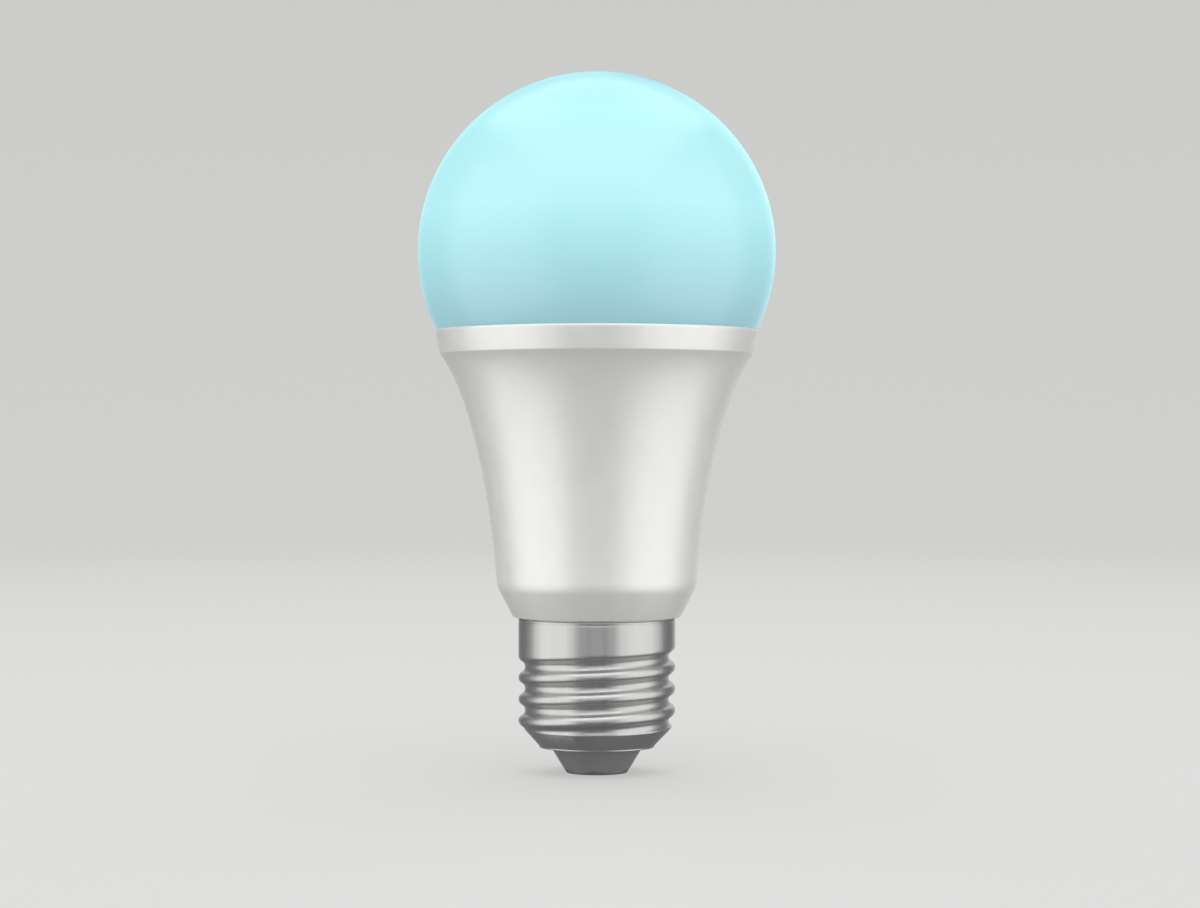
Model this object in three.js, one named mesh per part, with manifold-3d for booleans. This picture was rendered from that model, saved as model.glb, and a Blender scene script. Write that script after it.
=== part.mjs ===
// A smart light bulb: opal globe, moulded housing, screw cap, and the light engine,
// mains driver and radio board inside. Millimetres, +Z up, the bulb's axis on Z.
// The origin is the centre of the flat contact at the bottom of the cap.

import * as THREE from 'three';
import { mergeVertices } from 'three/addons/utils/BufferGeometryUtils.js';
import Module from 'manifold-3d';

const wasm = await Module();
wasm.setup();

// ---- driving dimensions -------------------------------------------------------------

const gap = 0.3;                   // clearance between neighbouring pieces
const ringSides = 36;              // facets round the bulb

// globe
const globeRadius = 30;
const globeCentre = 87.4;
const globeWall = 1.4;
const rimHeight = 74.2;            // top of the housing, where the globe begins
const rimRadius = 27.1;
const skirtOuter = 24.9;           // globe's skirt, inside the rim
const skirtInner = 23.7;
const skirtBottom = 71.2;

// housing
const rimInner = skirtOuter + gap;
const ledgeHeight = 70.0;          // floor of the rim's groove
const bandBottom = 70.1;           // crease between the rim band and the flare
const bandBottomRadius = 26.25;
const flareTop = [26.05, 69.85];
const flareUpperPull = [21.76, 64.21];
const flareLowerPull = [17.8, 47.68];
const flareBottom = [16.76, 31.3];
const housingWall = 1.6;
const chamferAngle = 28;           // of the chamfer below the flare, from upright
const footRadius = 14.05;          // bottom of the chamfer, above the cap
const footHeight = 26.1;
const spigotInner = 10.2;
const spigotBottom = 9.6;

// screw cap, E26/E27: round thread, 7 turns to the inch
const pitch = 25.4 / 7;
const crestRadius = 13.15;
const valleyRadius = 12.06;
const threadArc = 1.025;           // radius of both the crest and the valley
const firstCrest = 17.72;          // height of the top crest on the +X side
const shellTop = 25.8;
const shellSkirt = 13.14;
const shellWall = 0.5;
const shellBoreTop = shellSkirt - shellWall;
const shellBore = 11.55;           // bore behind the thread
const shellStep = 21.0;            // where the bore narrows
const shoulder = [12.2, 7.15];     // top of the shell's turned-in bottom
const shoulderSlope = 0.85;        // radius gained per height where the thread meets it
const lip = [9.7, 4.55];
const lipHeight = 4.2;
const lipBore = 8.0;

// insulator and contact
const coneTop = 7.62;
const coneBottom = 5.68;
const insulatorTop = 7.0;
const insulatorBore = 2.1;
const contactRadius = 5.45;        // the head tapers like the cone above it
const contactTip = 5.1;
const contactHead = 0.6;
const nailRadius = 1.0;
const sleeveBore = nailRadius + gap;
const sleeveRadius = insulatorBore - gap;

// light engine
const plateTop = 68.6;             // flat top of the heat sink
const plateThickness = 1.2;
const sinkBottom = 36;
const sinkWall = 1.1;
const padThickness = 0.5;
const padRadius = 21.5;
const boardThickness = 1.2;
const boardRadius = 22.9;
const padBottom = plateTop + gap;
const boardBottom = padBottom + padThickness + gap;
const boardTop = boardBottom + boardThickness;
const whiteRing = 18.2;            // radius of the ring of white LEDs
const colourRing = 12.2;           // radius of the ring of colour LEDs
const whiteSize = [2.8, 3.5, 0.8];
const colourSize = [5, 5, 1.5];
const screwRing = 17.0;
const screwAngles = [90, 210, 330];
const screwRadius = 1.25;

// driver board, upright in the neck: its parts stand on both faces
const driverFront = 2.2;
const driverBack = 3.4;
const frontFace = driverFront - gap;   // where the parts in front of the board end
const backFace = driverBack + gap;     // where the parts behind it begin
const driverTop = 64.5;
const driverBottom = 13;
const driverWide = 13.2;           // half width in the flare
const driverNarrow = 9.0;          // half width in the spigot
const pinPitch = 2.54;
const pinSide = 0.64;
const pinCount = 5;

// radio board
const radioBack = -2.5;
const radioFront = -3.3;
const radioHalf = 8;
const radioBottom = 54.5;
const radioTop = 79.5;
const shieldSize = [12, 9.5, 2];
const shieldHeight = 61;           // middle of the shield can
const moduleHeaderHeight = 57.5;   // middle of the strip between the boards

// ---- materials ----------------------------------------------------------------------

function material(colour, roughness, metalness) {
  return new THREE.MeshStandardMaterial({ color: colour, roughness, metalness });
}

const opalPlastic = material(0xbff8ff, 0.45, 0);
const whitePlastic = material(0xe4e4e0, 0.38, 0);
const satinNickel = material(0xb4b4b4, 0.28, 1);
const contactMetal = material(0x9a9a9a, 0.3, 1);
const greyInsulator = material(0x5c5c5e, 0.4, 0);
const aluminium = material(0xc4c6c8, 0.4, 1);
const whiteBoard = material(0xf0f0ec, 0.5, 0);
const greenBoard = material(0x1f6b3a, 0.45, 0);
const silicone = material(0xe8e8e4, 0.6, 0);
const greyPad = material(0x9aa0a6, 0.8, 0);
const coolPhosphor = material(0xf2ee9a, 0.45, 0);
const warmPhosphor = material(0xe8a94a, 0.45, 0);
const clearResin = material(0xe6e6e2, 0.25, 0);
const steel = material(0xb8b8ba, 0.35, 1);
const blackPlastic = material(0x1c1c1e, 0.5, 0);
const blackSleeve = material(0x202226, 0.35, 0);
const ferrite = material(0x3a3a3c, 0.6, 0);
const copper = material(0xb5642e, 0.35, 1);
const yellowTape = material(0xd8b52a, 0.5, 0);
const blueLacquer = material(0x2b56a8, 0.4, 0);
const beigeLacquer = material(0xc9b48a, 0.5, 0);
const redInsulation = material(0xb3261e, 0.45, 0);
const whiteInsulation = material(0xe2e2de, 0.45, 0);

// ---- building blocks ----------------------------------------------------------------

const bulb = new THREE.Group();

function add(name, geometry, finish, x = 0, y = 0, z = 0) {
  const mesh = new THREE.Mesh(geometry, finish.clone());
  mesh.name = name;
  mesh.position.set(x, y, z);
  bulb.add(mesh);
  return mesh;
}

// Revolve a closed outline of [radius, height] points about Z.
function revolve(outline, sides = ringSides) {
  const points = outline.map(([r, z]) => new THREE.Vector2(r, z));
  if (THREE.ShapeUtils.area(points) < 0) {
    points.reverse();
  }
  points.push(points[0].clone());
  const geometry = new THREE.LatheGeometry(points, sides);
  return geometry.rotateX(Math.PI / 2);
}

// Points on an arc, angles in degrees from the outward direction.
function arc(radius, height, size, from, to, steps) {
  const points = [];
  for (let i = 0; i <= steps; i += 1) {
    const angle = THREE.MathUtils.degToRad(from + (to - from) * i / steps);
    points.push([radius + size * Math.cos(angle), height + size * Math.sin(angle)]);
  }
  return points;
}

// The housing's flare, moved inwards by some distance, from its top down.
function flare(inset, steps) {
  const ends = [flareTop, flareUpperPull, flareLowerPull, flareBottom];
  const pulls = ends.map(([r, z]) => new THREE.Vector2(r - inset, z));
  const curve = new THREE.CubicBezierCurve(...pulls);
  return curve.getPoints(steps).map((p) => [p.x, p.y]);
}

function box(width, depth, height) {
  return new THREE.BoxGeometry(width, depth, height);
}

// A cylinder that stands on z = 0.
function post(radius, height, sides) {
  return new THREE.CylinderGeometry(radius, radius, height, sides)
    .rotateX(Math.PI / 2)
    .translate(0, 0, height / 2);
}

function toSolid(geometry) {
  const bare = geometry.clone();
  bare.deleteAttribute('normal');
  bare.deleteAttribute('uv');
  const merged = mergeVertices(bare, 1e-4);
  return new wasm.Manifold(new wasm.Mesh({
    numProp: 3,
    vertProperties: merged.attributes.position.array,
    triVerts: new Uint32Array(merged.index.array),
  }));
}

function toGeometry(solid) {
  const mesh = solid.getMesh();
  const geometry = new THREE.BufferGeometry();
  geometry.setAttribute('position', new THREE.BufferAttribute(mesh.vertProperties, 3));
  geometry.setIndex(new THREE.BufferAttribute(mesh.triVerts, 1));
  return geometry;
}

function cut(geometry, tools) {
  let solid = toSolid(geometry);
  for (const tool of tools) {
    solid = solid.subtract(toSolid(tool));
  }
  return toGeometry(solid);
}

function join(geometries) {
  let solid = toSolid(geometries[0]);
  for (const piece of geometries.slice(1)) {
    solid = solid.add(toSolid(piece));
  }
  return toGeometry(solid);
}

// A flat plate in XY, standing on z = 0, from an outline and its holes.
function plate(outline, holes, thickness) {
  outline.holes = holes;
  return new THREE.ExtrudeGeometry(outline, { depth: thickness, bevelEnabled: false });
}

function circle(radius, sides, x = 0, y = 0) {
  const corners = Array.from({ length: sides }, (_, i) => {
    const angle = 2 * Math.PI * i / sides;
    return new THREE.Vector2(x + radius * Math.cos(angle), y + radius * Math.sin(angle));
  });
  return new THREE.Shape(corners);
}

function rectangle(left, right, front, back) {
  const corners = [[left, front], [right, front], [right, back], [left, back]];
  return new THREE.Shape(corners.map(([x, y]) => new THREE.Vector2(x, y)));
}

// A moulded package: a box with bevelled top and bottom edges, standing on z = 0.
function moulding(width, depth, height, bevel) {
  const shape = rectangle(bevel - width / 2, width / 2 - bevel, bevel - depth / 2, depth / 2 - bevel);
  const options = {
    depth: height - 2 * bevel,
    bevelThickness: bevel,
    bevelSize: bevel,
    bevelSegments: 1,
  };
  return new THREE.ExtrudeGeometry(shape, options).translate(0, 0, bevel);
}

function tube(points, radius, steps, sides = 8) {
  const path = new THREE.CatmullRomCurve3(points.map((p) => new THREE.Vector3(...p)));
  return new THREE.ExtrudeGeometry(circle(radius, sides), { extrudePath: path, steps });
}

function ringPlace(radius, degrees) {
  const angle = THREE.MathUtils.degToRad(degrees);
  return [radius * Math.cos(angle), radius * Math.sin(angle)];
}

// ---- globe and housing --------------------------------------------------------------

function diffuserDome() {
  const shoulderHeight = rimHeight + gap;
  const openAngle = -THREE.MathUtils.radToDeg(Math.asin((globeCentre - shoulderHeight) / globeRadius));
  const footAngle = -19;
  const outer = arc(0, globeCentre, globeRadius, 90, openAngle, 13);
  const inner = arc(0, globeCentre, globeRadius - globeWall, footAngle, 90, 9);
  const skirt = [
    [skirtOuter, shoulderHeight],
    [skirtOuter, skirtBottom],
    [skirtInner, skirtBottom],
    [skirtInner, shoulderHeight + 0.5],
  ];
  outer[0][0] = 0;
  inner[inner.length - 1][0] = 0;
  add('diffuser_dome', revolve([...outer, ...skirt, ...inner]), opalPlastic);
}

function domeSeal() {
  const inner = skirtInner + 0.9;
  const floor = ledgeHeight + gap;
  const top = skirtBottom - gap;
  const outline = [[inner, floor], [skirtOuter, floor], [skirtOuter, top], [inner, top]];
  add('dome_seal', revolve(outline), silicone);
}

function housing() {
  const bevel = 0.25;
  const corner = 0.7;
  const tangent = corner * Math.tan(THREE.MathUtils.degToRad(chamferAngle / 2));
  const cornerCentre = [flareBottom[0] - corner, flareBottom[1] + tangent];
  const chamferCorner = arc(...cornerCentre, corner, 0, -chamferAngle, 2);
  const outer = [
    [rimRadius - bevel, rimHeight],
    [rimRadius, rimHeight - bevel],
    [bandBottomRadius, bandBottom],
    ...flare(0, 10).slice(0, -1),
    ...chamferCorner,
    [footRadius, footHeight + 0.15],
    [footRadius - 0.15, footHeight],
  ];
  const spigotTop = shellBoreTop - gap;
  const spigot = [
    [spigotTop, footHeight],
    [spigotTop, shellStep + gap],
    [shellBore - gap, shellStep + gap],
    [shellBore - gap, spigotBottom],
    [spigotInner, spigotBottom],
    [spigotInner, footHeight - 1],
  ];
  const inner = flare(housingWall, 6).reverse();
  const groove = [[inner[inner.length - 1][0], ledgeHeight], [rimInner, ledgeHeight], [rimInner, rimHeight]];
  add('housing', revolve([...outer, ...spigot, ...inner, ...groove]), whitePlastic);
}

// ---- light engine -------------------------------------------------------------------

// The openings that the radio board and the pins pass through.
const radioSlot = [-radioHalf - 0.5, radioHalf + 0.5, radioFront - 0.5, radioBack + 0.5];
const pinSlot = [-6.6, 6.6, driverFront - 0.4, driverBack + 0.4];

function throughHoles() {
  const screws = screwAngles.map((angle) => circle(screwRadius + 0.35, 12, ...ringPlace(screwRing, angle)));
  return [rectangle(...radioSlot), rectangle(...pinSlot), ...screws];
}

function heatSink() {
  const wallOuter = flare(housingWall + 0.4, 12).filter(([, z]) => z < plateTop && z > sinkBottom);
  const wallInner = flare(housingWall + 0.4 + sinkWall, 9)
    .filter(([, z]) => z < plateTop - plateThickness - 0.5 && z > sinkBottom)
    .reverse();
  const endOuter = wallOuter[wallOuter.length - 1][0] - 0.1;
  const outline = [
    [0, plateTop],
    [wallOuter[0][0] + 0.2, plateTop],
    ...wallOuter,
    [endOuter, sinkBottom],
    [endOuter - sinkWall, sinkBottom],
    ...wallInner,
    [wallInner[wallInner.length - 1][0] + 0.3, plateTop - plateThickness],
    [0, plateTop - plateThickness],
  ];
  const holes = throughHoles().map((hole) => plate(hole, [], 4).translate(0, 0, plateTop - 3));
  add('heat_sink', cut(revolve(outline), holes), aluminium);
}

function boards() {
  const pad = plate(circle(padRadius, ringSides), throughHoles(), padThickness);
  add('thermal_pad', pad, greyPad, 0, 0, padBottom);
  const board = plate(circle(boardRadius, ringSides), throughHoles(), boardThickness);
  add('led_board', board, whiteBoard, 0, 0, boardBottom);
}

function led(name, size, ring, degrees, finish) {
  const body = moulding(...size, 0.15);
  const mesh = add(name, body, finish, ...ringPlace(ring, degrees), boardTop + gap);
  mesh.rotation.z = THREE.MathUtils.degToRad(degrees);
}

function leds() {
  const whitesPerColour = 6;
  const colours = 4;
  for (let i = 0; i < whitesPerColour; i += 1) {
    led(`cool_white_led_${i + 1}`, whiteSize, whiteRing, i * 60 + 15, coolPhosphor);
    led(`warm_white_led_${i + 1}`, whiteSize, whiteRing, i * 60 + 45, warmPhosphor);
  }
  for (let i = 0; i < colours; i += 1) {
    led(`rgb_led_${i + 1}`, colourSize, colourRing, i * 90 + 45, clearResin);
  }
}

function boardScrews() {
  const headRadius = 2.3;
  const headHeight = 1.5;
  const length = 5;
  const slotLength = 3;
  const slotWidth = 0.6;
  const slotDepth = 1;
  screwAngles.forEach((angle, i) => {
    const head = new THREE.CylinderGeometry(headRadius - 0.6, headRadius, headHeight, 16);
    head.rotateX(Math.PI / 2).translate(0, 0, headHeight / 2);
    const shank = post(screwRadius, length + 0.2, 12).translate(0, 0, -length);
    const slot = box(slotLength, slotWidth, 2 * slotDepth).translate(0, 0, headHeight);
    const screw = cut(join([head, shank]), [slot, slot.clone().rotateZ(Math.PI / 2)]);
    add(`board_screw_${i + 1}`, screw, steel, ...ringPlace(screwRing, angle), boardTop + gap);
  });
}

// ---- radio board and connectors -----------------------------------------------------

function radio() {
  const height = radioTop - radioBottom;
  const thickness = radioBack - radioFront;
  const middle = (radioBack + radioFront) / 2;
  add('wifi_board', box(2 * radioHalf, thickness, height), greenBoard, 0, middle, radioBottom + height / 2);
  const can = moulding(...shieldSize, 0.3).rotateX(Math.PI / 2);
  add('wifi_shield', can, steel, 0, radioFront - gap, shieldHeight);
  const stripFront = radioBack + gap;
  const stripMiddle = (stripFront + frontFace) / 2;
  const strip = box(13, frontFace - stripFront, 2);
  add('module_header', strip, blackPlastic, 0, stripMiddle, moduleHeaderHeight);
}

function connectors() {
  const middle = (driverFront + driverBack) / 2;
  const width = pinCount * pinPitch;
  const depth = 2.5;
  const stripHeight = 1.6;
  const pinHeight = 9;
  const socketHeight = 5;
  const pinX = Array.from({ length: pinCount }, (_, i) => (i - (pinCount - 1) / 2) * pinPitch);
  const strip = box(width, depth, stripHeight);
  const pins = pinX.map((x) => box(pinSide, pinSide, pinHeight).translate(x, 0, pinHeight / 2));
  const stripMiddle = driverTop + gap + stripHeight / 2;
  add('pin_header', join([strip, ...pins]), blackPlastic, 0, middle, stripMiddle);
  const bore = pinSide + 2 * gap;
  const bores = pinX.map((x) => box(bore, bore, socketHeight + 1).translate(x, 0, 0));
  const socket = cut(box(width, depth, socketHeight), bores);
  add('board_socket', socket, whitePlastic, 0, middle, boardTop + gap + socketHeight / 2);
}

// ---- mains driver -------------------------------------------------------------------

function driverBoard() {
  const neckEnd = 33.5;
  const wideStart = 38.5;
  const outline = [
    [-driverNarrow, driverBottom], [driverNarrow, driverBottom], [driverNarrow, neckEnd],
    [driverWide, wideStart], [driverWide, driverTop], [-driverWide, driverTop],
    [-driverWide, wideStart], [-driverNarrow, neckEnd],
  ];
  const shape = new THREE.Shape(outline.map(([x, z]) => new THREE.Vector2(x, z)));
  const board = plate(shape, [], driverBack - driverFront).rotateX(Math.PI / 2);
  add('driver_board', board, greenBoard, 0, driverBack, 0);
}

// An electrolytic can standing up the board, with the beaded groove near its foot.
function electrolytic(name, radius, height, y, z) {
  const bead = 0.35;
  const outline = [
    [0, 0], [radius - bead, 0], [radius, bead], [radius, 1.6], [radius - bead, 2],
    [radius, 2.4], [radius, height - bead], [radius - bead, height], [0, height],
  ];
  add(name, revolve(outline, 20), blackSleeve, 0, y, z);
}

// A drum core with its winding between the flanges.
function drumInductor(name, radius, height, finish, x, y, z) {
  const flange = 0.9;
  const waist = radius - 0.5;
  const outline = [
    [0, 0], [radius, 0], [radius, flange], [waist, flange],
    [waist, height - flange], [radius, height - flange], [radius, height], [0, height],
  ];
  add(name, revolve(outline, 16), finish, x, y, z);
}

// An E core round a taped coil. The core's middle limb passes through the coil.
function transformer() {
  const z = 46.5;
  const coreDepth = 5.2;
  const limbHeight = 2.2;
  const windowWidth = 8.6;
  const windowHeight = 4.6;
  const windowOffset = (limbHeight + windowHeight) / 2;
  const coilDepth = 10.6;
  const coilHeight = 9.9;
  const middle = frontFace - coilDepth / 2 - gap;
  const opening = box(windowWidth, coreDepth + 1, windowHeight);
  const windows = [-1, 1].map((side) => opening.clone().translate(0, 0, side * windowOffset));
  add('transformer_core', cut(box(13, coreDepth, 12.4), windows), ferrite, 0, middle, z);
  const coil = moulding(windowWidth - 2 * gap, coilDepth, coilHeight, 0.4).translate(0, 0, -coilHeight / 2);
  const room = box(windowWidth + 1, coreDepth + 2 * gap, limbHeight + 2 * gap);
  add('transformer_coil', cut(coil, [room]), yellowTape, 0, middle, z);
}

function frontParts() {
  const canRadius = 5;
  const chokeRadius = 3.2;
  const supplyRadius = 2.9;
  electrolytic('input_capacitor', canRadius, 16.5, frontFace - canRadius, 21.5);
  drumInductor('emi_inductor', chokeRadius, 6.5, ferrite, 0, frontFace - chokeRadius, 14.2);
  drumInductor('supply_inductor', supplyRadius, 6, copper, 10, frontFace - supplyRadius, 43);
  transformer();
}

// A package that lies on the back of the driver board: width, height up the board, thickness.
function backPackage(name, size, bevel, finish, x, z) {
  add(name, moulding(...size, bevel).rotateX(-Math.PI / 2), finish, x, backFace, z);
}

function backParts() {
  const canRadius = 4;
  electrolytic('output_capacitor', canRadius, 12, backFace + canRadius, 42.5);
  const capRadius = 1.6;
  const resistor = revolve([
    [0, 0], [1.1, 0], [capRadius, 0.6], [capRadius, 2], [1.35, 2.6], [1.35, 6.4],
    [capRadius, 7], [capRadius, 8.4], [1.1, 9], [0, 9],
  ], 12);
  add('fuse_resistor', resistor, beigeLacquer, -4.5, backFace + capRadius, 15.5);
  const disc = revolve([[0, 0], [3, 0], [3.6, 0.8], [3.6, 2.8], [3, 3.6], [0, 3.6]], 20);
  add('varistor', disc.rotateX(-Math.PI / 2), blueLacquer, 0, backFace, 30.5);
  backPackage('film_capacitor', [10, 9, 5], 0.3, yellowTape, -6.5, 60);
  backPackage('bridge_rectifier', [4.7, 4, 1.6], 0.3, blackPlastic, 4.6, 23);
  backPackage('driver_ic', [3.9, 4.9, 1.5], 0.25, blackPlastic, -9.2, 46);
  backPackage('output_diode', [2.6, 4.3, 2.1], 0.25, blackPlastic, 9.2, 46);
  backPackage('colour_driver_ic', [5, 6, 1.4], 0.25, blackPlastic, 6.5, 60);
}

function wires() {
  const wireRadius = 0.6;
  const middle = (driverFront + driverBack) / 2;
  const start = driverBottom - gap;
  const steps = 12;
  const live = [
    [-3, middle, start], [-2.6, middle, 11.2], [-0.8, 1, 10.2], [0, 0, 9.3], [0, 0, 8.3],
  ];
  add('live_wire', tube(live, wireRadius, steps), redInsulation);
  const neutral = [
    [4, middle, start], [4.6, middle, 10.9], [6.6, middle, 9.2], [8.2, 3, 8.4], [9.6, 3.2, 8.3],
  ];
  add('neutral_wire', tube(neutral, wireRadius, steps), whiteInsulation);
}

// ---- screw cap ----------------------------------------------------------------------

// Radius of the rolled thread. It runs out into the plain skirt behind the bulb.
function threadRadius(angle, height) {
  const turns = (height - firstCrest) / pitch - angle / (2 * Math.PI);
  const fromCrest = Math.abs(turns - Math.round(turns)) * pitch;
  const fromValley = pitch / 2 - fromCrest;
  const onCrest = crestRadius - threadArc + Math.sqrt(Math.max(threadArc ** 2 - fromCrest ** 2, 0));
  const inValley = valleyRadius + threadArc - Math.sqrt(Math.max(threadArc ** 2 - fromValley ** 2, 0));
  const full = fromCrest < pitch / 4 ? onCrest : inValley;
  const groovePath = angle + 2 * Math.PI * Math.floor(turns);
  const runOut = 1 - THREE.MathUtils.smoothstep(groovePath, 0.1 * Math.PI, 0.8 * Math.PI);
  return crestRadius - (crestRadius - full) * runOut;
}

// The shell is turned plain, and the thread is then pressed into its outer wall.
function capShell() {
  const rowStep = 0.5;
  const threadTop = 21.9;
  const rows = Math.round((threadTop - shoulder[1]) / rowStep);
  const outer = [];
  for (let i = 0; i <= rows; i += 1) {
    outer.push([crestRadius, threadTop - (threadTop - shoulder[1]) * i / rows]);
  }
  const lipTop = lipHeight + shellWall;
  const bottom = [lip, [lip[0] - 0.6, lipHeight + 0.08], [lipBore, lipHeight], [lipBore, lipTop]];
  const inside = [[lip[0] - 0.5, lipTop], [shellBore, shoulder[1] + 0.25], [shellBore, shellStep]];
  const top = [[shellBoreTop, shellStep], [shellBoreTop, shellTop], [shellSkirt, shellTop]];
  const geometry = revolve([...outer, ...bottom, ...inside, ...top]);
  const place = geometry.attributes.position;
  for (let i = 0; i < place.count; i += 1) {
    const [x, y, z] = [place.getX(i), place.getY(i), place.getZ(i)];
    if (Math.hypot(x, y) < crestRadius - 0.005) {
      continue;
    }
    const angle = Math.atan2(y, x);
    const bottomLimit = shoulder[0] + (z - shoulder[1]) * shoulderSlope;
    const radius = Math.min(threadRadius(angle, z), bottomLimit);
    place.setXYZ(i, radius * Math.cos(angle), radius * Math.sin(angle), z);
  }
  add('cap_shell', geometry, satinNickel);
}

function insulatorAndContact() {
  const flangeRadius = 10;
  const flangeBottom = lipHeight + shellWall + gap;
  const insulator = [
    [insulatorBore, contactHead + gap], [coneBottom, contactHead + gap],
    [coneTop, lipHeight - 0.15], [coneTop, flangeBottom], [8.5, flangeBottom],
    [flangeRadius, 6.4], [flangeRadius, insulatorTop], [insulatorBore, insulatorTop],
  ];
  add('cap_insulator', revolve(insulator), greyInsulator);
  const sleeveFlange = 3;
  const sleeveBottom = 1.5;
  const sleeveTop = insulatorTop + 0.7;
  const sleeve = [
    [sleeveBore, sleeveBottom], [sleeveRadius, sleeveBottom], [sleeveRadius, insulatorTop + gap],
    [sleeveFlange, insulatorTop + gap], [sleeveFlange, sleeveTop], [sleeveBore, sleeveTop],
  ];
  add('contact_sleeve', revolve(sleeve, 16), copper);
  const contact = [
    [0, 0], [contactTip, 0], [contactRadius, contactHead],
    [nailRadius, contactHead], [nailRadius, 6.2], [nailRadius - 0.4, 6.8], [0, 6.8],
  ];
  add('centre_contact', revolve(contact, 24), contactMetal);
}

diffuserDome();
domeSeal();
housing();
heatSink();
boards();
leds();
boardScrews();
radio();
connectors();
driverBoard();
frontParts();
backParts();
wires();
capShell();
insulatorAndContact();

export default bulb;
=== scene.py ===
"""A smart light bulb: the looks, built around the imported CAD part. Blender 4.5."""
import math

import bmesh
import bpy
from mathutils import Euler, Matrix, Vector
from mathutils.geometry import tessellate_polygon


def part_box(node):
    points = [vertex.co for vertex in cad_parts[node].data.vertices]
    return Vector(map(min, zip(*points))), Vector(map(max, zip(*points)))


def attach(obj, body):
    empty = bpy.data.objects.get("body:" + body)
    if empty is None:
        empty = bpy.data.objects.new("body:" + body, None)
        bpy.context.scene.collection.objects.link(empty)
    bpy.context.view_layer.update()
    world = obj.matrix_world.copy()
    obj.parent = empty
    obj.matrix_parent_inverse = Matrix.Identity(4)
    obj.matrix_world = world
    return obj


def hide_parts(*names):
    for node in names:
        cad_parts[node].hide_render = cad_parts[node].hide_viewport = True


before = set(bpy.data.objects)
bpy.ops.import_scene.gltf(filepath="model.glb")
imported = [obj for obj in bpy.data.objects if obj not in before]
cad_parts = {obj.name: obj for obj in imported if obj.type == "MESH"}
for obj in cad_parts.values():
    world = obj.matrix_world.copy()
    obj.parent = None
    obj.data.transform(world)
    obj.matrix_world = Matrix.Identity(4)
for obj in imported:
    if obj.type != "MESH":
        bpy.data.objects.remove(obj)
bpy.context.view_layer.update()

MM = 0.001
AROUND = 160                       # facets round the bulb

# ---- dimensions, in millimetres ----


def cad_box(node):
    """The CAD node's lowest and highest corners, in millimetres."""
    low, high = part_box(node)
    return [c / MM for c in low], [c / MM for c in high]


def measures(node):
    """A CAD node's lowest corner, highest corner, middle and size, in millimetres."""
    low, high = cad_box(node)
    return low, high, [(a + b) / 2 for a, b in zip(low, high)], [b - a for a, b in zip(low, high)]


def middle(node):
    return measures(node)[2]


GLOBE_TOP = cad_box("diffuser_dome")[1][2]
GLOBE_RADIUS = 30.0
GLOBE_CENTRE = GLOBE_TOP - GLOBE_RADIUS
GLOBE_WALL = 1.4
RIM_HEIGHT = cad_box("housing")[1][2]
RIM_RADIUS = 27.1
SKIRT_OUTER = 24.9
SKIRT_INNER = 23.7
SKIRT_BOTTOM = cad_box("diffuser_dome")[0][2]
RIM_INNER = SKIRT_OUTER + 0.15
LEDGE = 70.0

FLARE = [(26.05, 69.85), (21.76, 64.21), (17.8, 47.68), (16.76, 31.3)]
HOUSING_WALL = 1.6
FOOT_RADIUS = 14.05
FOOT_HEIGHT = 26.1
SPIGOT_INNER = 10.2
SPIGOT_BOTTOM = cad_box("housing")[0][2]

PITCH = 25.4 / 7                   # E26/E27: seven turns to the inch
CREST = 13.15
VALLEY = 12.06
THREAD_ARC = 1.025
FIRST_CREST = 17.72                # height of the top crest on the +X side
SHELL_TOP = cad_box("cap_shell")[1][2]
SHELL_WALL = 0.3
SHOULDER = (12.2, 7.15)
SHOULDER_SLOPE = 0.85
LIP = (9.7, 4.55)
LIP_HEIGHT = cad_box("cap_shell")[0][2]
LIP_BORE = 8.0

CONE_TOP = 7.64
CONTACT_RADIUS = 5.47
CONTACT_TIP = 5.12
CONTACT_HEAD = 0.6

PIN_PITCH = 2.54
PIN_PLACES = [i * PIN_PITCH for i in (-2, -1, 0, 1, 2)]
PIN_SIDE = 0.64
LEAD_RADIUS = 0.3
UPRIGHT = (90, 0, 0)               # turns a shape's top to face the camera's side

# ---- mesh helpers ----


def arc(r, z, size, start, end, steps):
    """Points on an arc in the (radius, height) plane, angles in degrees from outwards."""
    turns = [math.radians(start + (end - start) * i / steps) for i in range(steps + 1)]
    return [(r + size * math.cos(a), z + size * math.sin(a)) for a in turns]


def bezier(p0, p1, p2, p3, steps):
    """Points on a cubic curve in the (radius, height) plane."""
    points = []
    for i in range(steps + 1):
        t = i / steps
        weights = ((1 - t) ** 3, 3 * t * (1 - t) ** 2, 3 * t * t * (1 - t), t ** 3)
        points.append(tuple(sum(w * p[k] for w, p in zip(weights, (p0, p1, p2, p3))) for k in (0, 1)))
    return points


def rounded(corners, steps=4):
    """An outline of (radius, height) or (radius, height, fillet) corners, with the fillets worked out."""
    points = []
    for i, (r, z, *fillet) in enumerate(corners):
        here = Vector((r, z))
        if not fillet:
            points.append((r, z))
            continue
        back = (Vector(corners[i - 1][:2]) - here).normalized()
        on = (Vector(corners[(i + 1) % len(corners)][:2]) - here).normalized()
        half = back.angle(on) / 2
        reach = fillet[0] / math.tan(half)
        centre = here + (back + on).normalized() * (fillet[0] / math.sin(half))
        start = here + back * reach - centre
        turn = start.angle_signed(here + on * reach - centre)
        for k in range(steps + 1):
            spoke = Matrix.Rotation(-turn * k / steps, 2) @ start
            points.append(tuple(centre + spoke))
    return points


def outward(bm):
    """Turns every face to point out of its solid."""
    bmesh.ops.recalc_face_normals(bm, faces=bm.faces)
    if bm.calc_volume(signed=True) < 0:
        bmesh.ops.reverse_faces(bm, faces=bm.faces)


def moved(bm, place):
    bm.transform(place)
    return bm


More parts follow.
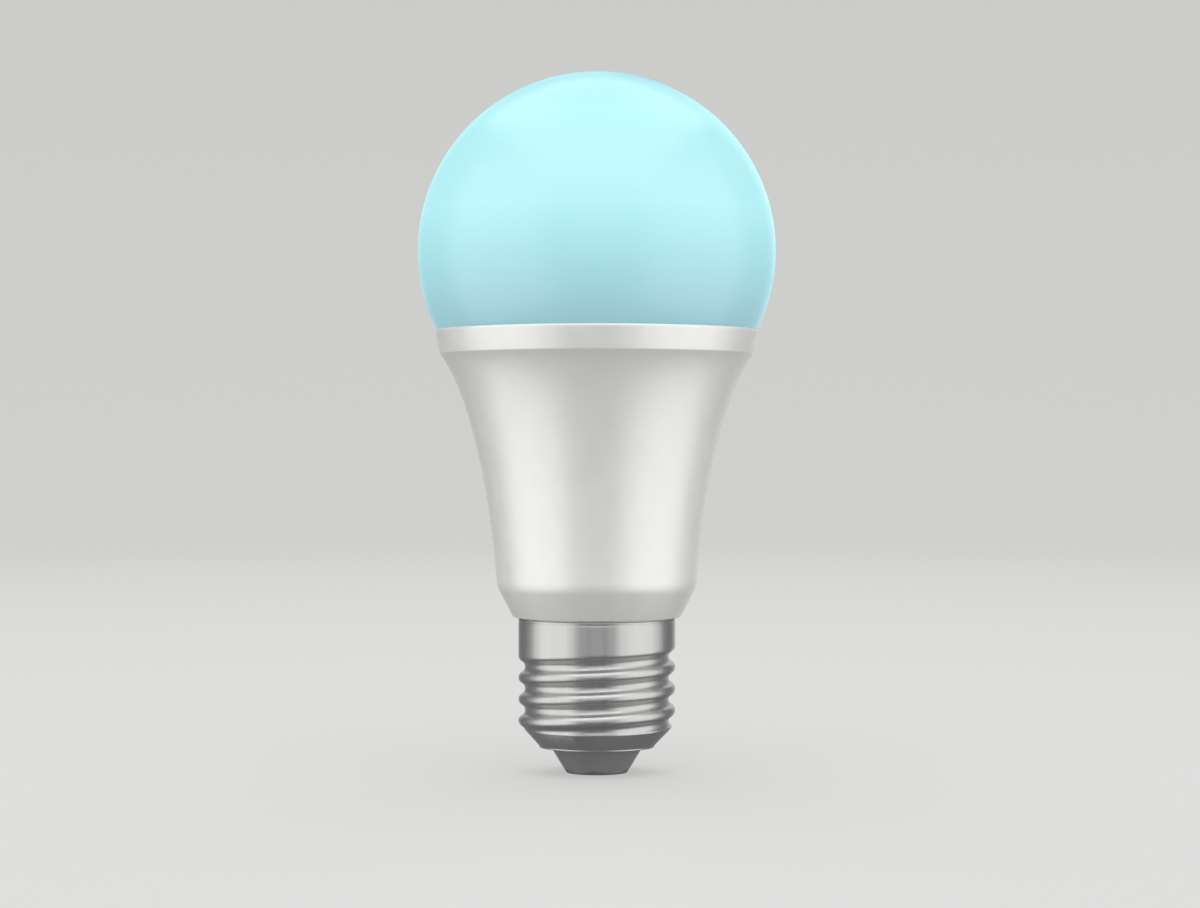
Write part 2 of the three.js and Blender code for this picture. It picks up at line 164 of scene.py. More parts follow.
def new_object(name, bm, finishes, sharp=40):
    """A mesh object from a bmesh in millimetres, smooth apart from its sharp edges."""
    mesh = bpy.data.meshes.new(name)
    bm.to_mesh(mesh)
    bm.free()
    mesh.transform(Matrix.Scale(MM, 4))
    mesh.shade_smooth()
    mesh.set_sharp_from_angle(angle=math.radians(sharp))
    for finish in finishes:
        mesh.materials.append(finish)
    obj = bpy.data.objects.new(name, mesh)
    bpy.context.scene.collection.objects.link(obj)
    return obj


def lathe(outline, sides=AROUND, press=None, sheet=False):
    """A bmesh turned from an outline, which closes on itself unless its ends lie on the axis
    or it is a sheet. press(angle, radius, height) gives a point a radius that varies with angle."""
    bm = bmesh.new()
    columns = []
    for i in range(sides):
        angle = 2 * math.pi * i / sides
        column = []
        for r, z in outline:
            if r == 0 and columns:
                column.append(columns[0][len(column)])
                continue
            radius = press(angle, r, z) if press else r
            column.append(bm.verts.new((radius * math.cos(angle), radius * math.sin(angle), z)))
        columns.append(column)
    closed = outline[0][0] > 0 and not sheet
    count = len(outline) if closed else len(outline) - 1
    for i in range(sides):
        left, right = columns[i], columns[(i + 1) % sides]
        for j in range(count):
            k = (j + 1) % len(outline)
            ring = [left[j], right[j], right[k], left[k]]
            corners = list(dict.fromkeys(ring))
            bm.faces.new(corners)
    outward(bm)
    return bm


def finish_piece(obj, node):
    """The piece stands for a CAD node and rides on the bulb's one body."""
    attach(obj, "root")
    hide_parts(node)
    return obj


def turned(name, node, slot, outline, finish, **options):
    """A piece turned from an outline, in one finish."""
    return finish_piece(new_object(name, lathe(outline, **options), [LOOKS[finish]]), node)


# ---- material helpers ----

NOISE_RANGE = (0.3, 0.7)           # where most of a noise's values lie


class Finish:
    """A material with one Principled shader and a few nodes that feed it."""

    def __init__(self, name, colour, roughness, metallic=0.0, **sockets):
        self.material = bpy.data.materials.new(name)
        self.material.use_nodes = True
        self.tree = self.material.node_tree
        self.shader = self.tree.nodes["Principled BSDF"]
        self.colour = colour
        self.roughness = roughness
        self.feed(Base_Color=(*colour, 1), Roughness=roughness, Metallic=metallic, **sockets)
        self.place = self.node("TexCoord", "Object")

    def fill(self, node, sockets):
        """Sets a node's inputs, or links them where another node's output is given."""
        for name, value in sockets.items():
            socket = node.inputs[name.replace("_", " ")]
            if isinstance(value, bpy.types.NodeSocket):
                self.tree.links.new(value, socket)
            else:
                socket.default_value = value

    def feed(self, **sockets):
        """Fills the shader's inputs."""
        self.fill(self.shader, sockets)

    def node(self, kind, output, **sockets):
        """One output of a new node, with the node's inputs filled."""
        node = self.tree.nodes.new("ShaderNode" + kind)
        self.fill(node, sockets)
        return node.outputs[output]

    def stretched(self, scale):
        """The object's coordinates, scaled on each axis."""
        return self.node("Mapping", "Vector", Vector=self.place, Scale=scale)

    def noise(self, per_metre, detail, stretch=(1, 1, 1)):
        place = self.stretched(stretch)
        return self.node("TexNoise", "Fac", Vector=place, Scale=per_metre, Detail=detail)

    def span(self, factor, low, high, from_low=0.0, from_high=1.0):
        """Maps a factor's range to another."""
        return self.node("MapRange", "Result", Value=factor, From_Min=from_low, From_Max=from_high,
                         To_Min=low, To_Max=high)

    def ramp(self, factor, stops):
        """A colour ramp of (position, colour) stops."""
        output = self.node("ValToRGB", "Color", Fac=factor)
        elements = output.node.color_ramp.elements
        while len(elements) < len(stops):
            elements.new(0.5)
        for element, (position, colour) in zip(elements, stops):
            element.position = position
            element.color = (*colour, 1)
        return output

    def height(self):
        """The height above the tip, in millimetres."""
        return self.node("SeparateXYZ", "Z", Vector=self.stretched((1 / MM, 1 / MM, 1 / MM)))

    def drift(self, factor, darker, lighter):
        """The base colour changes a little with a factor."""
        dark = [c * darker for c in self.colour]
        light = [min(1, c * lighter) for c in self.colour]
        self.feed(Base_Color=self.ramp(factor, list(zip(NOISE_RANGE, (dark, light)))))

    def vary_gloss(self, factor, spread):
        low, high = self.roughness - spread, self.roughness + spread
        self.feed(Roughness=self.span(factor, low, high, *NOISE_RANGE))

    def bump(self, factor, distance_mm):
        self.feed(Normal=self.node("Bump", "Normal", Height=factor, Distance=distance_mm * MM))


def linear(*rgb):
    """Linear colour from 0 to 255 screen values."""
    return [((c / 255 + 0.055) / 1.055) ** 2.4 if c > 10 else c / 255 / 12.92 for c in rgb]


def worn(name, colour, roughness, metallic, drift, gloss, grain, **sockets):
    """A finish whose colour drifts, with uneven gloss and a fine grain. Each of the three is the
    settings of a noise and how far it goes."""
    finish = Finish(name, linear(*colour), roughness, metallic, **sockets)
    finish.drift(finish.noise(*drift[0]), *drift[1:])
    finish.vary_gloss(finish.noise(*gloss[0]), gloss[1])
    finish.bump(finish.noise(*grain[0]), grain[1])
    return finish


def opal_finish():
    """Diffusing plastic lit by the bulb's own glow. The glow is brightest about mid-height and dimmer towards
    the rim, with painted shade that dims it near the top.
    """
    finish = worn("opal_polycarbonate", (124, 138, 140), 0.33, 0.0,
                  ((60, 3), 0.985, 1.01), ((300, 3), 0.03), ((1400, 2), 0.0015), IOR=1.58)
    # Up to 0.65 the stops are the bulb's own glow. The stops at 0.8 and 0.9 are painted shade that darkens
    # the top to offset the top light's reflection.
    glow = [
        (0.0, linear(110, 160, 171)),
        (0.12, linear(119, 175, 186)),
        (0.27, linear(125, 190, 199)),
        (0.45, linear(137, 204, 211)),
        (0.65, linear(130, 200, 204)),
        (0.8, linear(115, 195, 198)),
        (0.9, linear(84, 178, 188)),
    ]
    level = finish.span(finish.height(), 0, 1, RIM_HEIGHT, GLOBE_TOP)
    finish.feed(Emission_Color=finish.ramp(level, glow), Emission_Strength=1.0)
    return finish.material


# ---- globe and housing ----


def globe():
    shoulder = RIM_HEIGHT + 0.12
    outer_edge = math.degrees(math.asin((shoulder + 0.12 - GLOBE_CENTRE) / GLOBE_RADIUS))
    inner_edge = -19
    outer = arc(0, GLOBE_CENTRE, GLOBE_RADIUS, 90, outer_edge, 72)
    inner = arc(0, GLOBE_CENTRE, GLOBE_RADIUS - GLOBE_WALL, inner_edge, 90, 48)
    outer[0] = (0, outer[0][1])
    inner[-1] = (0, inner[-1][1])
    foot = rounded([
        outer[-1], (outer[-1][0] - 0.08, shoulder, 0.04), (SKIRT_OUTER, shoulder, 0.1),
        (SKIRT_OUTER, SKIRT_BOTTOM + 1.1, 0.1), (SKIRT_OUTER + 0.12, SKIRT_BOTTOM + 0.8, 0.1),
        (SKIRT_OUTER - 0.3, SKIRT_BOTTOM, 0.15), (SKIRT_INNER, SKIRT_BOTTOM, 0.2),
        (SKIRT_INNER, shoulder + 0.5, 1.5), inner[0],
    ])
    outline = outer + foot[1:-1] + inner
    turned("globe", "diffuser_dome", "opal_diffuser", outline, "opal")


def housing():
    band_bottom = (26.3, 70.2)
    rim = rounded([
        (RIM_INNER, RIM_HEIGHT - 0.1), (RIM_INNER + 0.12, RIM_HEIGHT, 0.08),
        (RIM_RADIUS, RIM_HEIGHT, 0.28), (RIM_RADIUS, RIM_HEIGHT - 0.45, 0.8), (*band_bottom, 0.6),
        FLARE[0],
    ])
    flare = bezier(*FLARE, 60)
    spigot_out = CREST - SHELL_WALL - 0.05
    foot = rounded([
        flare[-3], (*FLARE[3], 5.0), (FOOT_RADIUS, FOOT_HEIGHT, 0.14), (spigot_out, FOOT_HEIGHT),
    ], 8)
    rows = 90
    step = (FOOT_HEIGHT - SPIGOT_BOTTOM) / rows
    spigot = [(spigot_out, FOOT_HEIGHT - step * i) for i in range(1, rows + 1)]
    inside = rounded([
        (SPIGOT_INNER, SPIGOT_BOTTOM), (SPIGOT_INNER, FOOT_HEIGHT - 1, 1.0),
        (FLARE[3][0] - HOUSING_WALL, FLARE[3][1] - 0.6, 1.0), (FLARE[3][0] - HOUSING_WALL, FLARE[3][1]),
    ])
    inner_flare = [(r - HOUSING_WALL, z) for r, z in reversed(flare[::3])]
    groove = [(inner_flare[-1][0], LEDGE), (RIM_INNER, LEDGE)]
    outline = rim + flare[1:-3] + foot + spigot + inside + inner_flare[1:] + groove

    def press(angle, r, z):
        on_spigot = abs(r - spigot_out) < 1e-6 and z < FOOT_HEIGHT - 0.1
        return min(r, shell_radius(angle, z) - SHELL_WALL - 0.12) if on_spigot else r

    turned("housing_shell", "housing", "white_housing", outline, "housing", press=press)


# ---- screw cap ----


def smoothstep(value, low, high):
    t = min(max((value - low) / (high - low), 0), 1)
    return t * t * (3 - 2 * t)


def thread_radius(angle, height):
    """Radius of the rolled right-hand thread, which runs out into the skirt at the back."""
    angle = (angle + math.pi) % (2 * math.pi) - math.pi
    turns = (height - FIRST_CREST) / PITCH - angle / (2 * math.pi)
    from_crest = abs(turns - round(turns)) * PITCH
    from_valley = PITCH / 2 - from_crest
    if from_crest < PITCH / 4:
        full = CREST - THREAD_ARC + math.sqrt(THREAD_ARC ** 2 - from_crest ** 2)
    else:
        full = VALLEY + THREAD_ARC - math.sqrt(THREAD_ARC ** 2 - from_valley ** 2)
    groove = angle + 2 * math.pi * math.floor(turns)
    run_out = 1 - smoothstep(groove, 0.1 * math.pi, 0.8 * math.pi)
    return CREST - (CREST - full) * run_out


def shell_radius(angle, height):
    """The shell's outer radius above its shoulder."""
    below = SHOULDER[0] + (height - SHOULDER[1]) * SHOULDER_SLOPE
    radius = thread_radius(angle, height)
    soft = 0.35
    overlap = max(soft - abs(radius - below), 0) / soft
    return min(radius, below) - overlap * overlap * soft / 4


def cap_shell():
    rows = 190
    wall_top = SHELL_TOP - 0.75
    wall = [(CREST, wall_top - (wall_top - SHOULDER[1]) * i / rows) for i in range(rows + 1)]
    bottom = rounded([
        SHOULDER, (LIP[0] + 0.02, LIP[1] + 0.02, 0.12), (LIP[0] - 0.02, LIP_HEIGHT + 0.1, 0.14),
        (LIP[0] - 0.6, LIP_HEIGHT, 0.3), (LIP_BORE, LIP_HEIGHT + 0.12),
    ])
    bead = [
        (CREST - 0.16, SHELL_TOP),
        (CREST - 0.03, SHELL_TOP - 0.06),
        (CREST, SHELL_TOP - 0.18),
        (CREST - 0.01, SHELL_TOP - 0.32),
        (CREST - 0.06, SHELL_TOP - 0.42),
        (CREST - 0.06, SHELL_TOP - 0.52),
        (CREST - 0.01, SHELL_TOP - 0.64),
    ]
    outline = bead + wall + bottom[1:]

    def press(angle, r, z):
        return shell_radius(angle, z) if r == CREST and z <= wall_top else r

    shell = turned("screw_shell", "cap_shell", "cap_nickel", outline, "nickel", press=press, sheet=True)
    solid = shell.modifiers.new("wall", "SOLIDIFY")
    solid.thickness = SHELL_WALL * MM
    solid.offset = -1
    solid.use_even_offset = True


def cap_insulator():
    top = cad_box("cap_insulator")[1][2]
    outline = rounded([
        (2.0, CONTACT_HEAD + 0.03), (CONTACT_RADIUS + 0.03, CONTACT_HEAD + 0.03, 0.03),
        (CONE_TOP, LIP_HEIGHT - 0.06, 0.08), (CONE_TOP, LIP_HEIGHT + 0.5, 0.1),
        (8.7, LIP_HEIGHT + 0.6, 0.2), (10.3, 6.35, 0.3), (10.3, top, 0.2), (2.0, top),
    ])
    turned("insulator_cone", "cap_insulator", "cap_insulator", outline, "insulator")


def contact():
    outline = rounded([
        (0, 0), (CONTACT_TIP, 0, 0.15), (CONTACT_RADIUS, CONTACT_HEAD, 0.05), (1.0, CONTACT_HEAD, 0.05),
        (1.0, 6.3, 0.2), (0.5, 6.8, 0.1), (0, 6.8),
    ])
    turned("contact_nail", "centre_contact", "contact_nickel", outline, "contact", sides=96)


# ---- put-together pieces ----


def at(x, y, z, turn=(0, 0, 0)):
    """A place, with turns in degrees about X, Y and Z."""
    return Matrix.Translation((x, y, z)) @ Euler(map(math.radians, turn)).to_matrix().to_4x4()


def block(width, depth, height, bevel=0.1, segments=2):
    """A box round the origin with rounded edges."""
    bm = bmesh.new()
    bmesh.ops.create_cube(bm, size=1, matrix=Matrix.Diagonal((width, depth, height, 1)))
    bmesh.ops.bevel(bm, geom=bm.edges[:], offset=bevel, segments=segments, profile=0.5, affect="EDGES")
    return bm


def prism(outline, holes, height, bevel=0.0):
    """A plate standing on z = 0, from its (x, y) outline and the holes through it."""
    bm = bmesh.new()
    loops = [outline, *holes]
    flat = [point for loop in loops for point in loop]
    triangles = tessellate_polygon([[Vector((x, y, 0)) for x, y in loop] for loop in loops])
    layers = [[bm.verts.new((x, y, z)) for x, y in flat] for z in (0, height)]
    for layer in layers:
        for corners in triangles:
            bm.faces.new([layer[i] for i in corners])
    first = 0
    for loop in loops:
        for i in range(len(loop)):
            a, b = first + i, first + (i + 1) % len(loop)
            bm.faces.new([layers[0][a], layers[0][b], layers[1][b], layers[1][a]])
        first += len(loop)
    outward(bm)
    bmesh.ops.dissolve_limit(bm, angle_limit=0.01, verts=bm.verts, edges=bm.edges)
    if bevel:
        rims = [edge for edge in bm.edges if len({round(v.co.z, 4) for v in edge.verts}) == 1]
        rims = [edge for edge in rims if edge.calc_face_angle(0) > 0.5]
        bmesh.ops.bevel(bm, geom=rims, offset=bevel, segments=2, profile=0.5, affect="EDGES")
    return bm


def circle(radius, sides=32, x=0.0, y=0.0):
    turns = [2 * math.pi * i / sides for i in range(sides)]
    return [(x + radius * math.cos(a), y + radius * math.sin(a)) for a in turns]


def rounded_box(left, right, front, back, corner, steps=4):
    """A rectangle's outline with round corners."""
    points = []
    centres = [(right - corner, back - corner), (left + corner, back - corner),
               (left + corner, front + corner), (right - corner, front + corner)]
    for i, (x, y) in enumerate(centres):
        points += arc(x, y, corner, 90 * i, 90 * i + 90, steps)
    return points


def centred_box(width, depth, corner, steps=4):
    return rounded_box(-width / 2, width / 2, -depth / 2, depth / 2, corner, steps)


def softened(points, rounds=3):
    """A path with its corners cut, so that it bends smoothly."""
    path = [Vector(point) for point in points]
    for _ in range(rounds):
        cut = [path[0]]
        for a, b in zip(path, path[1:]):
            cut += [a.lerp(b, 0.25), a.lerp(b, 0.75)]
        path = cut + [path[-1]]
    return path


def skin(bm, rings):
    """Joins equal rings of vertices into a tube and caps its ends."""
    for low, high in zip(rings, rings[1:]):
        for k in range(len(low)):
            n = (k + 1) % len(low)
            bm.faces.new([low[k], low[n], high[n], high[k]])
    bm.faces.new(rings[0])
    bm.faces.new(rings[-1])
    return bm


def rod(points, radius, sides=10):
    """A round bar along a path."""
    bm = bmesh.new()
    path = [Vector(point) for point in points]
    side = None
    rings = []
    for i, centre in enumerate(path):
        ahead = (path[min(i + 1, len(path) - 1)] - path[max(i - 1, 0)]).normalized()
        side = side or ahead.orthogonal()
        side = (side - ahead * side.dot(ahead)).normalized()
        over = ahead.cross(side)
        section = [centre + side * x + over * y for x, y in circle(radius, sides)]
        rings.append([bm.verts.new(point) for point in section])
    return skin(bm, rings)


def carve(bm, cutters):
    """A bmesh with other bmeshes cut out of it."""
    made = []
    for shape in [bm, *cutters]:
        mesh = bpy.data.meshes.new("carving")
        outward(shape)
        shape.to_mesh(mesh)
        shape.free()
        made.append(bpy.data.objects.new("carving", mesh))
        bpy.context.scene.collection.objects.link(made[-1])
    for cutter in made[1:]:
        cut = made[0].modifiers.new("cut", "BOOLEAN")
        cut.operation = "DIFFERENCE"
        cut.solver = "EXACT"
        cut.object = cutter
    result = bmesh.new()
    result.from_object(made[0], bpy.context.evaluated_depsgraph_get())
    bmesh.ops.remove_doubles(result, verts=result.verts, dist=0.0005)
    for obj in made:
        bpy.data.meshes.remove(obj.data)
    return result


class Assembly:
    """One piece put together from several shapes, each in one of its finishes."""

    def __init__(self):
        self.bm = bmesh.new()
        self.finishes = []

    def add(self, bm, finish, place=None):
        if finish not in self.finishes:
            self.finishes.append(finish)
        outward(bm)
        for face in bm.faces:
            face.material_index = self.finishes.index(finish)
        if place:
            bm.transform(place)
        mesh = bpy.data.meshes.new("shape")
        bm.to_mesh(mesh)
        bm.free()
        self.bm.from_mesh(mesh)
        bpy.data.meshes.remove(mesh)

    def lead(self, points, radius=LEAD_RADIUS, place=None):
        """A bent round lead."""
        self.add(rod(softened(points), radius), "tin", place)

    def make(self, name, node, place=None, sharp=35):
        if place:
            self.bm.transform(place)
        obj = new_object(name, self.bm, [LOOKS[finish] for finish in self.finishes], sharp)
        return finish_piece(obj, node)


# ---- finishes ----


def moulded(name, colour, roughness, metallic=0.0, drift=0.06, grain=2500, depth=0.004,
            stretch=(1, 1, 1), **sockets):
    """The usual finish of a small part, which follows the size of its grain."""
    slow, even, fine = (grain / 10, 4), (grain / 4, 3, stretch), (grain, 3, stretch)
    return worn(name, colour, roughness, metallic, (slow, 1 - drift, 1 + drift),
                (even, roughness / 5), (fine, depth), **sockets).material


def board_finish(name, mask, track, turn):
    """Solder mask over copper tracks, which show as thin raised lines that come and go."""
    finish = Finish(name, linear(*mask), 0.38, Coat_Weight=0.4, Coat_Roughness=0.2)
    lattice = finish.node("Mapping", "Vector", Vector=finish.place, Rotation=[math.radians(a) for a in turn])
    black, white = (0, 0, 0, 1), (1, 1, 1, 1)
    tracks = finish.node("TexBrick", "Color", Vector=lattice, Color1=black, Color2=black, Mortar=white,
                         Scale=260, Mortar_Size=0.03, Mortar_Smooth=0.3)
    tracks.node.offset = 0.37
    tracks.node.squash = 0.35
    patches = finish.span(finish.noise(260, 1), 0, 1, 0.52, 0.56)
    shown = finish.node("Math", "Value")
    shown.node.operation = "MULTIPLY"
    for factor, socket in zip((tracks, patches), shown.node.inputs):
        finish.tree.links.new(factor, socket)
    colour = finish.ramp(shown, [(0.1, linear(*mask)), (0.6, linear(*track))])
    finish.feed(Base_Color=colour)
    finish.vary_gloss(finish.noise(1500, 3), 0.06)
    finish.bump(shown, 0.03)
    return finish.material


DRAWN = (1500, 3, (1, 1, 0.02))     # noise that follows the drawing of the shell
LOOKS = {
    "opal": opal_finish(),
    "housing": worn("moulded_white", (237, 237, 233), 0.42, 0.32, ((45, 2), 0.985, 1.01),
                    ((400, 3), 0.05), ((3200, 2), 0.0035), IOR=1.7).material,
    "nickel": worn("satin_nickel", (191, 191, 190), 0.36, 1.0, ((700, 3, (1, 1, 0.05)), 0.965, 1.02),
                   (DRAWN, 0.05), (DRAWN, 0.0015)).material,
    "insulator": worn("dark_grey_moulding", (128, 128, 129), 0.35, 0.0, ((150, 3), 0.93, 1.05),
                      ((500, 3), 0.05), ((2500, 3), 0.004)).material,
    "contact": worn("contact_plating", (158, 157, 156), 0.42, 1.0, ((300, 4), 0.9, 1.04),
                    ((700, 4, (1, 0.2, 1)), 0.07), ((1500, 4), 0.003)).material,
    "white_mask": board_finish("white_solder_mask", (236, 236, 230), (230, 230, 223), (0, 0, 0)),
    "green_mask": board_finish("green_solder_mask", (26, 88, 48), (40, 110, 62), (90, 0, 0)),
    "aluminium": moulded("spun_aluminium", (200, 202, 204), 0.36, 1.0, 0.04, 1800, 0.004, (0.05, 0.05, 1)),
    "pad": moulded("thermal_pad_grey", (146, 152, 158), 0.78, 0.0, 0.08, 3500, 0.02),
    "silicone": moulded("white_silicone", (232, 232, 226), 0.55, 0.0, 0.03, 900, 0.02, Subsurface_Weight=0.1),
    "package": moulded("white_package", (238, 236, 230), 0.4, 0.0, 0.02, 6000, 0.002),
    "cool": moulded("cool_phosphor_gel", (240, 232, 130), 0.35, 0.0, 0.08, 9000, 0.006, Coat_Weight=0.5),
    "warm": moulded("warm_phosphor_gel", (236, 172, 72), 0.35, 0.0, 0.08, 9000, 0.006, Coat_Weight=0.5),
    "resin": moulded("clear_resin_lens", (216, 216, 206), 0.16, 0.0, 0.05, 900, 0.004, Coat_Weight=1.0),
    "die": moulded("led_die", (96, 110, 150), 0.2, 0.6, 0.2, 9000, 0.002),
    "tin": moulded("tinned_copper", (196, 196, 192), 0.3, 1.0, 0.06, 3000, 0.004),
    "gold": moulded("gold_plating", (214, 178, 104), 0.28, 1.0, 0.05, 3000, 0.003),
    "solder": moulded("solder", (178, 180, 180), 0.26, 1.0, 0.1, 1600, 0.02),
    "steel": moulded("zinc_plated_steel", (184, 186, 190), 0.32, 1.0, 0.07, 2200, 0.006),
    "can": moulded("shield_can_steel", (186, 187, 186), 0.34, 1.0, 0.04, 2600, 0.004, (0.04, 1, 1)),
    "black": moulded("black_moulding", (30, 30, 32), 0.46, 0.0, 0.12, 3200, 0.006),
    "white": moulded("white_moulding", (226, 226, 220), 0.42, 0.0, 0.04, 2600, 0.004),
    "chip": moulded("ceramic_chip", (170, 140, 104), 0.4, 0.0, 0.12, 5000, 0.004),
    "sleeve": moulded("capacitor_sleeve_film", (34, 36, 42), 0.28, 0.0, 0.1, 1200, 0.01, (1, 1, 0.1),
                      Coat_Weight=0.5),
    "stripe": moulded("pale_stripe_film", (176, 178, 182), 0.3, 0.0, 0.04, 1200, 0.01, (1, 1, 0.1),
                      Coat_Weight=0.5),
    "ferrite": moulded("sintered_ferrite", (56, 56, 60), 0.6, 0.1, 0.25, 4200, 0.012),
    "copper": moulded("enamelled_copper", (184, 98, 52), 0.3, 1.0, 0.12, 1800, 0.004, (1, 1, 0.1),
                      Coat_Weight=0.6),
    "tape": moulded("polyester_tape", (222, 184, 48), 0.3, 0.0, 0.08, 700, 0.02, (0.08, 1, 1),
                    Coat_Weight=0.4),
    "blue": moulded("blue_epoxy_coat", (44, 88, 170), 0.3, 0.0, 0.12, 700, 0.05, Coat_Weight=0.5),
    "beige": moulded("beige_lacquer_coat", (204, 182, 140), 0.4, 0.0, 0.07, 1500, 0.012, Coat_Weight=0.3),
    "brown": moulded("brown_band", (98, 54, 30), 0.4, 0.0, 0.1, 1500, 0.01),
    "grey": moulded("grey_band", (120, 120, 122), 0.4, 0.0, 0.1, 1500, 0.01),
    "live": moulded("red_insulation", (180, 44, 36), 0.4, 0.0, 0.06, 1500, 0.008),
    "neutral": moulded("white_insulation", (228, 228, 222), 0.4, 0.0, 0.04, 1500, 0.008),
    "brass": moulded("brass_eyelet", (206, 176, 104), 0.3, 1.0, 0.07, 1800, 0.006, (1, 1, 0.1)),
}

# ---- light engine ----

BOARD_TOP = cad_box("led_board")[1][2]
SCREW_HOLE = 1.6
RADIO_SLOT = (-8.5, 8.5, -3.8, -2.0)
PIN_SLOT = (-6.6, 6.6, 1.8, 3.8)
WHITE_LED = (2.8, 3.5, 0.8)
COLOUR_LED = (5.0, 5.0, 1.5)
LAND_THICKNESS = 0.04
PACKAGE_FOOT = BOARD_TOP + 0.3


def facing_out(node, z):
    """The place of a node's middle at a height, turned to face away from the axis."""
    x, y, _ = middle(node)
    return at(x, y, z, (0, 0, math.degrees(math.atan2(y, x))))


def passages():
    """The outlines of the screw holes and slots through the plates under the globe."""
    screws = [circle(SCREW_HOLE, 24, *middle(f"board_screw_{i}")[:2]) for i in (1, 2, 3)]
    return screws + [rounded_box(*RADIO_SLOT, 0.4), rounded_box(*PIN_SLOT, 0.4)]


def dome_seal():
    radius = cad_box("dome_seal")[1][0]
    inner, outer = radius - 0.5, radius + 0.06
    foot, top = LEDGE + 0.04, SKIRT_BOTTOM - 0.04
    section = rounded([
        (inner + 0.25, foot), (outer, foot, 0.12), (outer - 0.06, top, 0.18), (inner + 0.1, top, 0.18),
        (inner, foot + 0.5, 0.2), (inner, foot, 0.1),
    ])
    piece = Assembly()
    piece.add(lathe(section), "silicone")
    piece.make("seal_bead", "dome_seal")


def heat_sink():
    wall = 1.1
    inset = HOUSING_WALL + 0.4
    foot, top = (corner[2] for corner in cad_box("heat_sink"))
    sides = [(r - inset, z) for r, z in bezier(*FLARE, 60) if foot + 1 < z < top - 0.9]
    bore = [(r - wall, z) for r, z in reversed(sides) if z < top - 2.6]
    outline = rounded([(0, top), (sides[0][0] + 0.3, top, 0.7), sides[0]]) + sides[1:]
    outline += rounded([
        (sides[-1][0], foot + 0.9), (sides[-1][0] - 0.05, foot, 0.3), (bore[0][0], foot, 0.3),
        (bore[0][0], foot + 1.2),
    ]) + bore[1:]
    outline += rounded([
        (bore[-1][0] + 0.05, top - 2.4), (bore[-1][0] + 0.25, top - 1.2, 0.6), (0, top - 1.2),
    ])
    cutters = [moved(prism(hole, [], 4), at(0, 0, top - 3)) for hole in passages()]
    turn = 1.4                     # keeps the facets' edges off the slots' corners
    cup = moved(lathe(outline, 128), at(0, 0, 0, (0, 0, turn)))
    piece = Assembly()
    piece.add(carve(cup, cutters), "aluminium")
    collar = rounded([
        (SCREW_HOLE, top - 2.6), (SCREW_HOLE + 0.7, top - 2.6, 0.25), (SCREW_HOLE + 0.9, top - 1.25),
        (SCREW_HOLE, top - 1.25),
    ])
    for i in (1, 2, 3):
        x, y, _ = middle(f"board_screw_{i}")
        piece.add(lathe(collar, 24), "aluminium", at(x, y, 0))
    piece.make("heat_sink_cup", "heat_sink")


def thermal_pad():
    low, high = cad_box("thermal_pad")
    swell = 0.22                   # it touches the plates above and below
    foot, top = low[2] - swell, high[2] + swell
    piece = Assembly()
    piece.add(prism(circle(high[0], 96), passages(), top - foot, 0.12), "pad", at(0, 0, foot))
    piece.make("gap_pad", "thermal_pad")


def led_board():
    low, high = cad_box("led_board")
    radius, top = high[0], high[2]
    on_top = top - 0.005
    piece = Assembly()
    piece.add(prism(circle(radius, 128), passages(), top - low[2], 0.08), "white_mask", at(0, 0, low[2]))
    packages = [(f"{tone}_white_led_{i}", WHITE_LED) for i in range(1, 7) for tone in ("cool", "warm")]
    packages += [(f"rgb_led_{i}", COLOUR_LED) for i in range(1, 5)]
    for node, (wide, long, _) in packages:
        for end in (-1, 1):
            land = prism(centred_box(wide * 0.86, 0.9, 0.12), [], LAND_THICKNESS, 0.01)
            piece.add(land, "solder", facing_out(node, on_top) @ at(0, end * (long / 2 + 0.1), 0))
    for px in PIN_PLACES:
        ring = prism(circle(0.75, 24), [circle(0.42, 24)], LAND_THICKNESS, 0.01)
        piece.add(ring, "solder", at(px, PIN_SLOT[3] + 1.3, on_top))
    border = prism(circle(21.7, 128), [circle(21.45, 128)], LAND_THICKNESS)
    piece.add(border, "white_mask", at(0, 0, on_top))
    piece.make("led_board_plate", "led_board")


def white_led(node, gel):
    """A lead-frame package: a walled cup full of phosphor gel on two tinned terminals."""
    wide, long, tall = WHITE_LED
    cup = centred_box(wide - 0.6, long - 0.7, 0.45)
    piece = Assembly()
    piece.add(prism(centred_box(wide, long, 0.15), [cup], tall - 0.02, 0.05), "package")
    piece.add(block(wide - 0.3, long - 0.3, 0.3, 0.05), "package", at(0, 0, 0.16))
    filling = prism(centred_box(wide - 0.62, long - 0.72, 0.44), [], tall - 0.16, 0.05)
    piece.add(filling, gel, at(0, 0, 0.02))
    for end in (-1, 1):
        piece.add(block(wide - 0.5, 0.55, 0.42, 0.06), "tin", at(0, end * (long / 2 - 0.16), -0.06))
    piece.make(node.replace("_led", "_package"), node, facing_out(node, PACKAGE_FOOT))


def colour_led(node):
    """A square package with a round lens over three dies, and three terminals a side."""
    wide, long, tall = COLOUR_LED
    lens = [(0, 0.5), (2.0, 0.5), (2.03, 1.36)]
    lens += bezier((2.03, 1.38), (1.5, 1.3), (0.8, 1.28), (0, 1.28), 6)[1:]
    piece = Assembly()
    piece.add(prism(centred_box(wide, long, 0.2), [circle(2.05, 40)], tall, 0.07), "package")
    piece.add(block(wide - 0.5, long - 0.5, 0.5, 0.06), "package", at(0, 0, 0.3))
    piece.add(lathe(lens, 40), "resin")
    for x, y in circle(0.55, 3):
        piece.add(block(0.34, 0.34, 0.12, 0.02), "die", at(x, y, 1.32))
    for side in (-1, 1):
        for i in (-1, 0, 1):
            piece.add(block(0.9, 0.5, 0.55, 0.06), "tin", at(i * 1.6, side * (long / 2 - 0.1), -0.02))
    piece.make(node.replace("_led", "_package"), node, facing_out(node, PACKAGE_FOOT))


